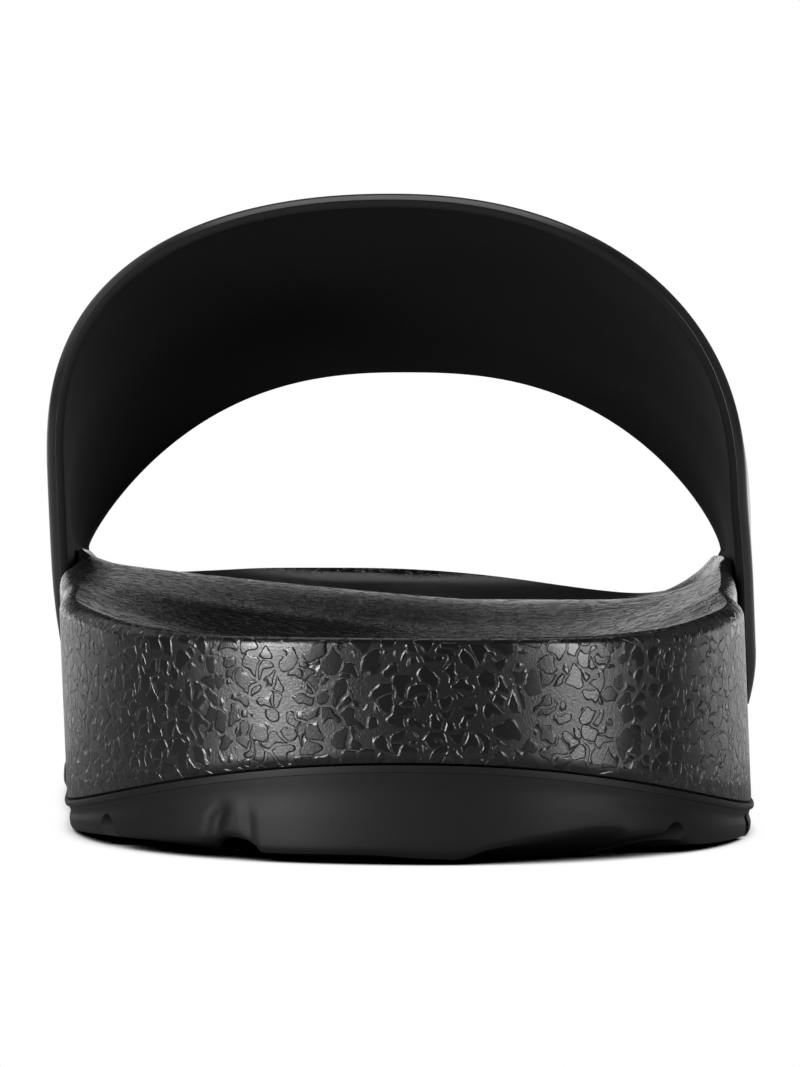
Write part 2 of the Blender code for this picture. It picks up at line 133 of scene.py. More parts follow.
# Strap
INSTEP_HEIGHT = 81.2 * MM
STRAP_WALL = 2.4 * MM
STRAP_REAR = 118.0 * MM
STRAP_SPAN = 98.0 * MM
STRAP_SWEEP = 10.0 * MM
SWEEP_POWER = 1.5
MEDIAL_HEM = 10.0 * MM
LATERAL_HEM = 6.0 * MM
STRAP_CORNER = 8.0 * MM
EDGE_ROLL = 2.0 * MM
MEDIAL_HEM_ROLL = 14.0 * MM
LATERAL_HEM_ROLL = 7.0 * MM
EDGE_WALL = 0.45

# Mesh density
HEEL_STEPS = 110
WAIST_STEPS = 70
TOE_STEPS = 56
BED_COLUMNS = 64
BASE_COLUMNS = 8
MIDSOLE_WALL_STEPS = 10
RIM_STEPS = 8
OUTSOLE_WALL_STEPS = 20
BOTTOM_CROWDING = 1.3
FLANGE_STEPS = 6
STRAP_SIDE_STEPS = 30
HEM_CROWDING = 1.5
STRAP_ARCH_STEPS = 64
STRAP_SPAN_STEPS = 44
EDGE_ROLL_STEPS = 7
GROOVE_STEPS = 24
ROOF_STEPS = 8
SHARP_ANGLE = math.radians(40.0)

# Colours
FOAM_BLACK = (0.003, 0.003, 0.0033)
RUBBER_BLACK = (0.0035, 0.0035, 0.0038)
STRAP_BLACK = (0.004, 0.004, 0.0045)
INSIDE_BLACK = (0.0035, 0.0035, 0.004)

# Grain of the foam: islands and how far their edges wander, the sand between them, and where both fade out
# on the bed towards the toe
ISLAND_SIZE = 2.1 * MM
ISLAND_REACH = 0.64
ISLAND_ROUNDING = 0.06
ISLAND_SLOPE = (-0.02, 0.07)
ISLAND_HEIGHT = 0.1 * MM
GAP_LEAST = -0.08
GAP_CHANGE = 0.3
GAP_CHANGE_SIZE = 2.6 * MM
WANDER = 2.0 * MM
WANDER_SIZE = 1.7 * MM
SAND_SIZE = 0.2 * MM
SAND_HEIGHT = 0.05 * MM
SAND_STRENGTH = 0.8
SAND_ON_ISLANDS = 0.4
GRAIN_END = 50.0 * MM
GRAIN_FADE = 30.0 * MM
BED_TILT = (0.6, 0.9)

# Roughness of the foam: on the sand, how much less on the islands, and how much more in broad clouds
SAND_ROUGHNESS = 0.26
ISLAND_GLOSS = 0.07
CLOUD_ROUGHNESS = 0.06
CLOUD_SIZE = 9.0 * MM

# Camera, worked out from the photograph's perspective, in its pixels, with the sensor in millimetres
CAMERA_DISTANCE = 425.0 * MM
CAMERA_HEIGHT = 43.1 * MM
FOCAL_PIXELS = 3937.0
PHOTO_WIDTH = 800.0
PHOTO_HEIGHT = 1067.0
HORIZON_ROW = 467.8
MIDDLE_COLUMN = 402.5
CAMERA_ROLL = math.radians(0.26)
SENSOR = 36.0

# Floor, the contact shadow painted on it, and the dark patch under it
FLOOR_SIZE = 6.0
FLOOR_GAP = 0.02 * MM
PAINTED_SHADOW_REACH = 8.0 * MM
PAINTED_SHADOW_DARK = 0.14
PAINTED_SHADOW_LIGHT = 0.58
SHADE_GAP = 0.1 * MM
SHADE_MARGIN = 4.0 * MM
SHADE_SIDES = 96

# Light that the floor throws up: near the sandal's middle, further off, and beyond the heel, where it grows
# along y from BACK_START to BACK_FULL
GLOW_REACH = 170.0 * MM
NEAR_GLOW = 0.25
FAR_GLOW = 0.03
BACK_GLOW = 0.75
BACK_START = -85.0 * MM
BACK_FULL = 80.0 * MM

# Soft boxes: degrees round from the heel's side, distance, height, width and tallness in metres, and watts.
# The two strips make the highlights on the heel, and the backdrop makes the light ends of its wall.
SOFT_BOXES = [
    ("left_strip", -42.0, 0.9, 0.1, 0.3, 1.0, 23.0),
    ("right_strip", 58.0, 0.9, 0.1, 0.28, 1.0, 11.0),
    ("backdrop", 180.0, 1.6, 0.09, 5.2, 0.18, 4.4),
    ("top", 180.0, 0.6, 1.2, 1.0, 0.6, 3.0),
    ("left_rear", -125.0, 1.0, 0.55, 1.0, 0.7, 1.2),
    ("right_rear", 125.0, 1.0, 0.55, 1.0, 0.7, 0.3),
]
AIM_HEIGHT = 20.0 * MM
WORLD_GLOW = 0.02


class Table:
    """Rows of shares with named columns, read smoothly between rows without overshoot."""

    def __init__(self, columns, rows):
        self.columns = columns.split()
        self.rows = np.array(rows, float)
        self.places = self.rows[:, 0]
        self.slopes = {}
        for name in self.columns[1:]:
            values = self.rows[:, self.columns.index(name)]
            rises = np.diff(values) / np.diff(self.places)
            slopes = np.zeros(len(values))
            slopes[0], slopes[-1] = rises[0], rises[-1]
            for k in range(1, len(values) - 1):
                before, after = rises[k - 1], rises[k]
                if before * after > 0:
                    slopes[k] = 2.0 * before * after / (before + after)
            self.slopes[name] = (values, slopes)

    def at(self, column, place):
        values, slopes = self.slopes[column]
        place = min(max(place, self.places[0]), self.places[-1])
        k = int(min(np.searchsorted(self.places, place, side="right") - 1, len(values) - 2))
        width = self.places[k + 1] - self.places[k]
        t = (place - self.places[k]) / width
        return float(
            values[k] * (1 + 2 * t) * (1 - t) ** 2
            + values[k + 1] * t * t * (3 - 2 * t)
            + width * (slopes[k] * t * (1 - t) ** 2 - slopes[k + 1] * t * t * (1 - t))
        )


# Half-widths before the ends are rounded. "ball" says how far a row follows BALL_WIDTH and not HEEL_WIDTH,
# and "medial" and "lateral" are shares of half that width.
OUTLINE = Table(
    "along ball medial lateral",
    [
        (0.000, 0.00, 1.000, 1.000),
        (0.144, 0.00, 1.000, 1.000),
        (0.210, 0.05, 1.006, 0.994),
        (0.263, 0.20, 1.009, 0.991),
        (0.350, 0.40, 1.009, 0.991),
        (0.440, 0.57, 0.988, 0.995),
        (0.525, 0.69, 0.986, 1.010),
        (0.600, 0.85, 0.990, 1.010),
        (0.680, 0.95, 0.998, 1.004),
        (0.750, 1.00, 1.000, 1.004),
        (1.000, 1.00, 1.000, 1.004),
    ],
)

# Heights above the bottom, as shares of HEEL_HEIGHT: the rim on either side, and the lowest line of the bed.
# "lowest" is where that line runs across, from -1 at the medial rim to 1 at the lateral rim. A "hollow" near
# 1 is a straight slope up to the rim, as on the arch, and a larger one is a flat bed with a steep side.
HEIGHTS = Table(
    "along rim_medial rim_lateral bed lowest hollow_medial hollow_lateral",
    [
        (0.000, 1.000, 1.000, 0.990, 0.00, 3.0, 3.0),
        (0.016, 1.000, 1.000, 0.940, 0.00, 3.0, 3.0),
        (0.042, 1.018, 1.016, 0.885, 0.00, 2.9, 2.9),
        (0.100, 1.086, 1.080, 0.845, 0.00, 2.8, 2.8),
        (0.175, 1.128, 1.118, 0.835, 0.05, 2.6, 2.8),
        (0.300, 1.176, 1.160, 0.905, 0.18, 1.5, 3.2),
        (0.440, 1.206, 1.180, 0.990, 0.30, 1.2, 4.5),
        (0.525, 1.220, 1.190, 0.970, 0.22, 3.2, 7.5),
        (0.650, 1.226, 1.196, 0.830, 0.08, 6.0, 10.0),
        (0.745, 1.190, 1.172, 0.748, 0.00, 7.0, 9.0),
        (0.800, 1.078, 1.040, 0.702, 0.00, 4.5, 5.0),
        (0.860, 0.972, 0.838, 0.644, 0.00, 2.9, 3.0),
        (0.912, 0.862, 0.735, 0.611, 0.00, 2.9, 2.8),
        (0.960, 0.770, 0.692, 0.597, 0.00, 2.9, 2.8),
        (0.985, 0.724, 0.688, 0.614, 0.00, 3.0, 3.0),
        (1.000, 0.690, 0.690, 0.675, 0.00, 3.0, 3.0),
    ],
)

# Rounding of the rim as a share of RIM_RADIUS: tight round the heel and along the forefoot.
RIM = Table("along radius", [(0.00, 0.5), (0.175, 1.0), (0.50, 1.0), (0.70, 0.25), (1.00, 0.25)])

# Rise of the bottom towards the toe, as a share of TOE_SPRING.
SPRING = Table(
    "along rise",
    [(0.00, 0.0), (0.70, 0.0), (0.80, 0.08), (0.86, 0.22), (0.912, 0.44), (0.96, 0.72), (1.00, 1.0)],
)

# Wall of the outsole from its bottom edge up to the flange, as shares of the height between them,
# and how far it stands in from the outline, as a share of BOTTOM_EDGE_RADIUS.
OUTSOLE_WALL = Table(
    "up inset",
    [(0.00, 0.50), (0.08, 0.25), (0.24, 0.15), (0.45, 0.12), (0.75, 0.24), (1.00, 0.08)],
)

# Bevel round the rear of the outsole, deepest at the rear lateral corner: the lift of the bottom edge as a
# share of BEVEL_RISE, by the place across the heel, from 0 at the middle to 1 at the side.
BEVEL = Table(
    "across medial lateral",
    [
        (0.00, 0.23, 0.23),
        (0.12, 0.32, 0.18),
        (0.21, 0.32, 0.49),
        (0.39, 0.30, 0.84),
        (0.52, 0.50, 1.00),
        (0.57, 0.52, 0.96),
        (0.60, 0.51, 0.78),
        (0.69, 0.47, 0.76),
        (0.80, 0.40, 0.24),
        (0.93, 0.22, 0.10),
        (1.00, 0.00, 0.00),
    ],
)

# Inner surface of the strap from its rear edge to its front edge. "crown" and "spring" are heights as shares
# of INSTEP_HEIGHT, and "shift" and both "bulge" columns are shares of BALL_WIDTH. Each side of the arch is a
# superellipse with one power over the crown and another down the side.
STRAP = Table(
    "along crown spring shift bulge_medial bulge_lateral over down_medial down_lateral",
    [
        (0.00, 0.9730, 0.507, 0.011, -0.002, -0.005, 2.16, 2.83, 2.36),
        (0.25, 0.9215, 0.484, 0.015, 0.004, 0.000, 2.20, 2.52, 2.28),
        (0.50, 0.8605, 0.447, 0.018, 0.005, 0.003, 2.24, 2.13, 2.16),
        (0.75, 0.7930, 0.395, 0.023, 0.006, 0.003, 2.30, 1.70, 2.06),
        (1.00, 0.7220, 0.367, 0.027, 0.001, 0.012, 2.50, 1.13, 1.30),
    ],
)


def mix(a, b, share):
    return a + (b - a) * share


def smooth(share):
    share = min(max(share, 0.0), 1.0)
    return share * share * (3.0 - 2.0 * share)


def end_round(distance, reach, power):
    """Share of the full width left at a distance from a rounded end."""
    if distance >= reach:
        return 1.0
    return (1.0 - (1.0 - max(distance, 0.0) / reach) ** power) ** (1.0 / power)


def bottom_height(y):
    return TOE_SPRING * SPRING.at("rise", y / SOLE_LENGTH)


def seam_height(y):
    """Height of the outsole's upper edge, which climbs round the back of the heel and a little at the toe."""
    heel = max(1.0 - y / HEEL_WRAP_REACH, 0.0) ** 2
    toe = max(1.0 - (SOLE_LENGTH - y) / TOE_WRAP_REACH, 0.0) ** 2
    return bottom_height(y) + OUTSOLE_EDGE + HEEL_WRAP * heel + TOE_WRAP * toe


def rim_height(y, side):
    column = "rim_medial" if side < 0 else "rim_lateral"
    return bottom_height(y) + HEEL_HEIGHT * HEIGHTS.at(column, y / SOLE_LENGTH)


def rim_radius(y):
    return RIM_RADIUS * RIM.at("radius", y / SOLE_LENGTH)


def wall_x(y, side):
    """Place of the sole's side wall at y, medial for side -1 and lateral for side 1, without the lean."""
    along = y / SOLE_LENGTH
    width = mix(HEEL_WIDTH, BALL_WIDTH, OUTLINE.at("ball", along))
    half = 0.5 * width * OUTLINE.at("medial" if side < 0 else "lateral", along)
    toe = end_round(SOLE_LENGTH - y, TOE_REACH, TOE_POWER)
    rounding = end_round(y, HEEL_REACH, HEEL_POWER) * toe
    return side * half * rounding - TOE_SHIFT * (1.0 - toe)


def bed_height(y, across):
    """Height of the footbed at y, with across from -1 at the medial rim to 1 at the lateral rim."""
    along = y / SOLE_LENGTH
    lowest = HEIGHTS.at("lowest", along)
    bed = bottom_height(y) + HEEL_HEIGHT * HEIGHTS.at("bed", along)
    if across < lowest:
        reach, column, side = (lowest - across) / (lowest + 1.0), "hollow_medial", -1
    else:
        reach, column, side = (across - lowest) / (1.0 - lowest), "hollow_lateral", 1
    return mix(bed, rim_height(y, side), reach ** HEIGHTS.at(column, along))


def placed(point):
    """A point of the sandal in the frame: its sides lean, and the frame's origin is under its middle."""
    x, y, z = point
    return (
        x + math.tan(SIDE_LEAN) * (HEEL_HEIGHT - z) + FRAME_SHIFT[0],
        y + FRAME_SHIFT[1],
        z + FRAME_SHIFT[2],
    )


def station_places():
    """Places along the sole, close together where the ends are round."""
    places = []
    for k in range(HEEL_STEPS):
        angle = 0.5 * math.pi * k / HEEL_STEPS
        places.append(HEEL_REACH * (1.0 - math.cos(angle) ** (2.0 / HEEL_POWER)))
    for k in range(WAIST_STEPS):
        places.append(mix(HEEL_REACH, SOLE_LENGTH - TOE_REACH, k / WAIST_STEPS))
    for k in range(TOE_STEPS, -1, -1):
        angle = 0.5 * math.pi * k / TOE_STEPS
        places.append(SOLE_LENGTH - TOE_REACH * (1.0 - math.cos(angle) ** (2.0 / TOE_POWER)))
    return places


STATIONS = station_places()
LAST = len(STATIONS) - 1


# An entry of the outline: its place along the sole, its side, its point and its outward normal
Entry = namedtuple("Entry", "y side point normal")


def ring_outline():
    """The outline as a closed ring, up the medial side from heel to toe and back down the lateral side."""
    order = [(k, -1) for k in range(LAST + 1)] + [(k, 1) for k in range(LAST - 1, 0, -1)]
    points = [np.array((wall_x(STATIONS[k], side), STATIONS[k])) for k, side in order]
    ring = []
    for n, (k, side) in enumerate(order):
        along = points[(n + 1) % len(points)] - points[n - 1]
        normal = np.array((-along[1], along[0])) / np.linalg.norm(along)
        ring.append(Entry(STATIONS[k], side, points[n], normal))
    return ring


RING = ring_outline()


def frame_shift():
    """From the sole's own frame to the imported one, read off the midsole's box, which has the same outline."""
    low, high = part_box("midsole")
    own = np.array([entry.point for entry in RING])
    lean = math.tan(SIDE_LEAN)
    widest = own[:, 0].argmin()
    y = RING[widest].y
    own_low_x = own[widest, 0] + lean * (HEEL_HEIGHT - rim_height(y, -1) + rim_radius(y))
    own_low_z = OUTSOLE_EDGE + SEAM_GAP
    return (low[0] - own_low_x, low[1] - own[:, 1].min(), low[2] - own_low_z)


FRAME_SHIFT = frame_shift()


def ring_at(inset, height):
    """A ring of points set in from the outline. Each argument is a function of a ring entry, or a length."""
    points = []
    for entry in RING:
        point = entry.point - entry.normal * (inset(entry) if callable(inset) else inset)
        points.append((point[0], point[1], height(entry) if callable(height) else height))
    return points


def mesh_from(name, points, faces):
    mesh = bpy.data.meshes.new(name)
    mesh.from_pydata(points, [], faces)
    work = bmesh.new()
    work.from_mesh(mesh)
    bmesh.ops.recalc_face_normals(work, faces=work.faces)
    work.to_mesh(mesh)
    work.free()
    return mesh


def add_object(name, mesh):
    obj = bpy.data.objects.new(name, mesh)
    bpy.context.scene.collection.objects.link(obj)
    obj.data.shade_smooth()
    return obj


def closed_loft(name, rings, lower_shares, lower_height, upper_shares, upper_height):
    """A closed body from rings of equal count, lowest first, with its floor and top spanned side to side."""
    size = len(RING)
    points = [point for ring in rings for point in ring]
    faces = []
    for level in range(len(rings) - 1):
        low, high = level * size, (level + 1) * size
        for n in range(size):
            after = (n + 1) % size
            faces.append((low + n, low + after, high + after, high + n))

    def span(level, shares, height):
        base = level * size
        rows = [[base]]
        for k in range(1, LAST):
            medial, lateral = base + k, base + size - k
            start, end = np.array(points[medial]), np.array(points[lateral])
            row = [medial]
            for share in shares:
                x, y, _ = mix(start, end, share)
                row.append(len(points))
                points.append((x, y, height(y, share)))
            rows.append(row + [lateral])
        rows.append([base + LAST])
        for first, second in zip(rows[1:-2], rows[2:-1]):
            for c in range(len(first) - 1):
                faces.append((first[c], first[c + 1], second[c + 1], second[c]))
        for tip, row in ((rows[0][0], rows[1]), (rows[-1][0], rows[-2])):
            for c in range(len(row) - 1):
                faces.append((tip, row[c], row[c + 1]))

    span(0, lower_shares, lower_height)
    span(len(rings) - 1, upper_shares, upper_height)
    return mesh_from(name, [placed(point) for point in points], faces)


def even_shares(count):
    return [k / count for k in range(1, count)]


def crowded_shares(count):
    """Shares from side to side, closer together at the sides."""
    return [0.5 - 0.5 * math.cos(math.pi * k / count) for k in range(1, count)]


def make_midsole():
    """The footbed and the side wall round it, with a rounded rim between them."""

    def wall_height(share):
        return lambda e: mix(seam_height(e.y) + SEAM_GAP, rim_height(e.y, e.side) - rim_radius(e.y), share)

    def rim_inset(turn):
        return lambda e: rim_radius(e.y) * (1.0 - math.cos(turn))

    def rounded_height(turn):
        return lambda e: rim_height(e.y, e.side) - rim_radius(e.y) * (1.0 - math.sin(turn))

    rings = [ring_at(0.0, wall_height(k / MIDSOLE_WALL_STEPS)) for k in range(MIDSOLE_WALL_STEPS + 1)]
    for k in range(1, RIM_STEPS + 1):
        turn = 0.5 * math.pi * k / RIM_STEPS
        rings.append(ring_at(rim_inset(turn), rounded_height(turn)))
    mesh = closed_loft(
        "grained_midsole",
        rings,
        even_shares(BASE_COLUMNS),
        lambda y, share: seam_height(y) + SEAM_GAP,
        crowded_shares(BED_COLUMNS),
        lambda y, share: bed_height(y, 2.0 * share - 1.0),
    )
    return add_object("grained_midsole", mesh)


def bevel_lift(entry):
    """Lift of the outsole's bottom edge at a ring entry."""
    column = "medial" if entry.side < 0 else "lateral"
    return BEVEL_RISE * BEVEL.at(column, end_round(entry.y, HEEL_REACH, HEEL_POWER))


def streak_share(entry, share):
    """How deep in the two soft streaks a ring entry is, from 0 to 1, at a share of the wall's height."""
    if entry.side > 0 or entry.y > HEEL_REACH:
        return 0.0
    across = -entry.point[0]
    broad = abs(across - mix(BROAD_STREAK_LOW, BROAD_STREAK_HIGH, share)) / BROAD_STREAK_WIDTH
    narrow = abs(across - NARROW_STREAK) / NARROW_STREAK_WIDTH
    depth = max(1.0 - smooth(broad), NARROW_STREAK_SHARE * (1.0 - smooth(narrow)))
    return depth * (1.0 - smooth((share - STREAK_TOP) / STREAK_FADE))


def arch_share(entry):
    """How high in the arch that the channel cuts into the heel's bottom edge a ring entry is, from 0 to 1."""
    if entry.side > 0 or entry.y > HEEL_REACH:
        return 0.0
    offset = abs(entry.point[0] + ARCH_MIDDLE) / (0.5 * CHANNEL_WIDTH)
    return 1.0 - smooth((offset - ARCH_FLAT) / ARCH_SLOPE)


def outsole_blank():
    """The outsole before its tread is cut."""

    def edge(e):
        return bottom_height(e.y) + bevel_lift(e) + ARCH_RISE * arch_share(e)

    def wall_height(share):
        return lambda e: mix(edge(e), seam_height(e.y) - FLANGE_HEIGHT, share)

    def wall_inset(share):
        lean_in = BOTTOM_EDGE_RADIUS * OUTSOLE_WALL.at("inset", share)
        return lambda e: lean_in + STREAK_DEPTH * streak_share(e, share)

    def flange_inset(reach):
        def inset(e):
            grown = smooth((e.y - FLANGE_START) / FLANGE_GROWTH)
            return -FLANGE * reach * mix(HEEL_FLANGE, 1.0, grown)

        return inset

    def flange_height(turn):
        rise = 0.5 * FLANGE_HEIGHT * (1.0 + math.sin(turn))
        return lambda e: seam_height(e.y) - FLANGE_HEIGHT + rise

    rings = [ring_at(BEVEL_REACH, lambda e: bottom_height(e.y))]
    for k in range(OUTSOLE_WALL_STEPS + 1):
        share = (k / OUTSOLE_WALL_STEPS) ** BOTTOM_CROWDING
        rings.append(ring_at(wall_inset(share), wall_height(share)))
    for k in range(1, FLANGE_STEPS + 1):
        turn = math.pi * (k / FLANGE_STEPS - 0.5)
        rings.append(ring_at(flange_inset(math.cos(turn)), flange_height(turn)))
    return closed_loft(
        "moulded_outsole",
        rings,
        even_shares(BASE_COLUMNS),
        lambda y, share: bottom_height(y),
        even_shares(BASE_COLUMNS),
        lambda y, share: seam_height(y),
    )


def cut_away(piece, cutters):
    """Cuts other solids out of a piece and removes them."""
    for cutter in cutters:
        cut = piece.modifiers.new(cutter.name, "BOOLEAN")
        cut.operation = "DIFFERENCE"
        cut.object = cutter
        cut.solver = "EXACT"
    bpy.context.view_layer.update()
    graph = bpy.context.evaluated_depsgraph_get()
    mesh = bpy.data.meshes.new_from_object(piece.evaluated_get(graph))
    piece.modifiers.clear()
    piece.data = mesh
    for cutter in cutters:
        bpy.data.objects.remove(cutter)


def make_outsole():
    outsole = add_object("moulded_outsole", outsole_blank())
    cut_away(outsole, tread_cutters())
    outsole.data.shade_smooth()
    outsole.data.set_sharp_from_angle(angle=SHARP_ANGLE)
    return outsole


def arch_profile(width, low, high):
    """Cross-section of a groove with an arched top, as (sideways, height) points."""
    points = [(-0.5 * width, low), (-0.5 * width, high - 0.5 * width)]
    for k in range(1, ROOF_STEPS):
        turn = math.pi * (1.0 - k / ROOF_STEPS)
        points.append((0.5 * width * math.cos(turn), high - 0.5 * width * (1.0 - math.sin(turn))))
    points += [(0.5 * width, high - 0.5 * width), (0.5 * width, low)]
    return points


def groove_cutter(name, path, width, low, high):
    """A bar with an arched top along a path in plan, for cutting one groove of the tread."""
    profile = arch_profile(width, low, high)
    path = [np.array(point) for point in path]
    points = []
    for n, point in enumerate(path):
        along = path[min(n + 1, len(path) - 1)] - path[max(n - 1, 0)]
        across = np.array((-along[1], along[0])) / np.linalg.norm(along)
        for sideways, height in profile:
            place = point + sideways * across
            points.append(placed((place[0], place[1], height)))
    count = len(profile)
    faces = [tuple(range(count)), tuple(range(len(points) - count, len(points)))]
    for n in range(len(path) - 1):
        for c in range(count):
            here = n * count + c
            after = n * count + (c + 1) % count
            faces.append((here, after, after + count, here + count))
    return add_object(name, mesh_from(name, points, faces))


def wave_path(y, half_length):
    """A groove across the sole, bowed towards the toe in the middle and a little skewed."""
    path = []
    for k in range(GROOVE_STEPS + 1):
        share = 2.0 * k / GROOVE_STEPS - 1.0
        bow = GROOVE_WAVE * math.cos(math.pi * share)
        path.append((half_length * share, y + bow - GROOVE_SKEW * share))
    return path


def groove_top(y):
    """Height of a groove's roof, which lifts with the bevel towards the back of the heel."""
    return bottom_height(y) + GROOVE_DEPTH + GROOVE_LIFT * max(1.0 - y / HEEL_REACH, 0.0)


def tread_cutters():
    """Cutters for the tread: grooves right across, short ones between, and two channels down the heel."""
    cutters = []
    count = int((SOLE_LENGTH - FIRST_GROOVE) / GROOVE_PITCH)
    for k in range(count + 1):
        y = FIRST_GROOVE + k * GROOVE_PITCH
        top = groove_top(y)
        path = wave_path(y, BALL_WIDTH)
        cutters.append(groove_cutter(f"groove_{k}", path, GROOVE_WIDTH, -GROOVE_DEPTH, top))
        between = y + 0.5 * GROOVE_PITCH
        if between < SOLE_LENGTH - GROOVE_PITCH:
            top = groove_top(between)
            path = wave_path(between, SHORT_GROOVE_HALF)
            cutters.append(groove_cutter(f"short_groove_{k}", path, GROOVE_WIDTH, -GROOVE_DEPTH, top))
    for side, start in ((-1, -GROOVE_PITCH), (1, LATERAL_CHANNEL_START)):
        path = [(side * CHANNEL_OFFSET, start), (side * CHANNEL_OFFSET, CHANNEL_END)]
        low = -2.0 * GROOVE_DEPTH
        cutters.append(groove_cutter(f"channel_{side}", path, CHANNEL_WIDTH, low, GROOVE_DEPTH))
    return cutters


def strap_section(y, side):
    """Inner surface of the strap at y, as (x, z) points from its hem up to the crown."""
    along = (y - STRAP_REAR) / STRAP_SPAN
    crown = INSTEP_HEIGHT * STRAP.at("crown", along)
    spring = INSTEP_HEIGHT * STRAP.at("spring", along)
    middle = BALL_WIDTH * STRAP.at("shift", along)
    over = STRAP.at("over", along)
    down = STRAP.at("down_medial" if side < 0 else "down_lateral", along)
    wall = wall_x(y, side) + side * SEAM_GAP
    widest = wall + side * BALL_WIDTH * STRAP.at("bulge_medial" if side < 0 else "bulge_lateral", along)
    hem = seam_height(y) + (MEDIAL_HEM if side < 0 else LATERAL_HEM)
    shoulder = rim_height(y, side) - rim_radius(y)
    points = []
    for k in range(STRAP_SIDE_STEPS):
        z = mix(hem, spring, (k / STRAP_SIDE_STEPS) ** HEM_CROWDING)
        share = smooth((z - shoulder) / max(spring - shoulder, MM))
        points.append((mix(wall, widest, share), z))
    for k in range(STRAP_ARCH_STEPS + 1):
        angle = 0.5 * math.pi * k / STRAP_ARCH_STEPS
        reach = max(math.cos(angle), 0.0) ** (2.0 / over)
        rise = math.sin(angle) ** (2.0 / down)
        points.append((mix(middle, widest, reach), mix(spring, crown, rise)))
    return points


def corner_inset(height):
    """How far the strap's rear and front edges step in near its hem, so that the corners are round."""
    share = 1.0 - min(max(height / STRAP_CORNER, 0.0), 1.0)
    return STRAP_CORNER * (1.0 - math.sqrt(1.0 - share * share))


def span_shares():
    """Shares from the strap's rear edge to its front edge, with close rows along both rolled edges."""
    roll = EDGE_ROLL / STRAP_SPAN
    turns = [0.5 * math.pi * k / EDGE_ROLL_STEPS for k in range(EDGE_ROLL_STEPS + 1)]
    near = [roll * (1.0 - math.cos(turn)) for turn in turns]
    inner = [mix(roll, 1.0 - roll, k / STRAP_SPAN_STEPS) for k in range(1, STRAP_SPAN_STEPS)]
    return near + inner + [1.0 - share for share in reversed(near)]


def strap_side(side):
    """Rows of inner points of one side of the strap, from its hem up, and each point's share of the wall."""
    middle = strap_section(STRAP_REAR + 0.5 * STRAP_SPAN, side)
    hem, crown = middle[0][1], middle[-1][1]
    hem_roll = MEDIAL_HEM_ROLL if side < 0 else LATERAL_HEM_ROLL
    shares = span_shares()
    rows, walls = [], []
    for k, (_, z) in enumerate(middle):
        sweep = STRAP_SWEEP * (1.0 - (z - hem) / (crown - hem)) ** SWEEP_POWER
        inset = corner_inset(z - hem)
        rear = STRAP_REAR + sweep + inset
        front = STRAP_REAR + STRAP_SPAN + sweep - inset
        row, wall = [], []
        for share in shares:
            y = mix(rear, front, share)
            x, height = strap_section(y, side)[k]
            row.append(placed((x, y, height)))
            nearest = min(min(share, 1.0 - share) * STRAP_SPAN / EDGE_ROLL, (z - hem) / hem_roll, 1.0)
            wall.append(mix(EDGE_WALL, 1.0, math.sin(0.5 * math.pi * max(nearest, 0.0))))
        rows.append(row)
        walls.append(wall)
    return rows, walls


def make_strap():
    """The strap's inner surface, thickened outwards, with a thinner wall along its rolled edges."""
    medial, medial_walls = strap_side(-1)
    lateral, lateral_walls = strap_side(1)
    rows = medial + lateral[-2::-1]
    walls = medial_walls + lateral_walls[-2::-1]
    columns = len(rows[0])
    points = [point for row in rows for point in row]
    faces = []
    for r in range(len(rows) - 1):
        for c in range(columns - 1):
            here = r * columns + c
            faces.append((here, here + columns, here + columns + 1, here + 1))
    mesh = bpy.data.meshes.new("moulded_strap")
    mesh.from_pydata(points, [], faces)
    strap = add_object("moulded_strap", mesh)
    group = strap.vertex_groups.new(name="wall")
    for n, wall in enumerate(wall for row in walls for wall in row):
        group.add([n], wall, "REPLACE")
    shell = strap.modifiers.new("wall", "SOLIDIFY")
    shell.thickness = STRAP_WALL
    shell.offset = 1.0
    shell.vertex_group = group.name
    shell.material_offset = 1
    shell.material_offset_rim = 1
    bpy.context.view_layer.update()
    return strap


def new_material(name, color, roughness):
    material = bpy.data.materials.new(name)
    material.use_nodes = True
    shader = material.node_tree.nodes["Principled BSDF"]
    shader.inputs["Base Color"].default_value = (*color, 1.0)
    shader.inputs["Roughness"].default_value = roughness
    return material, shader


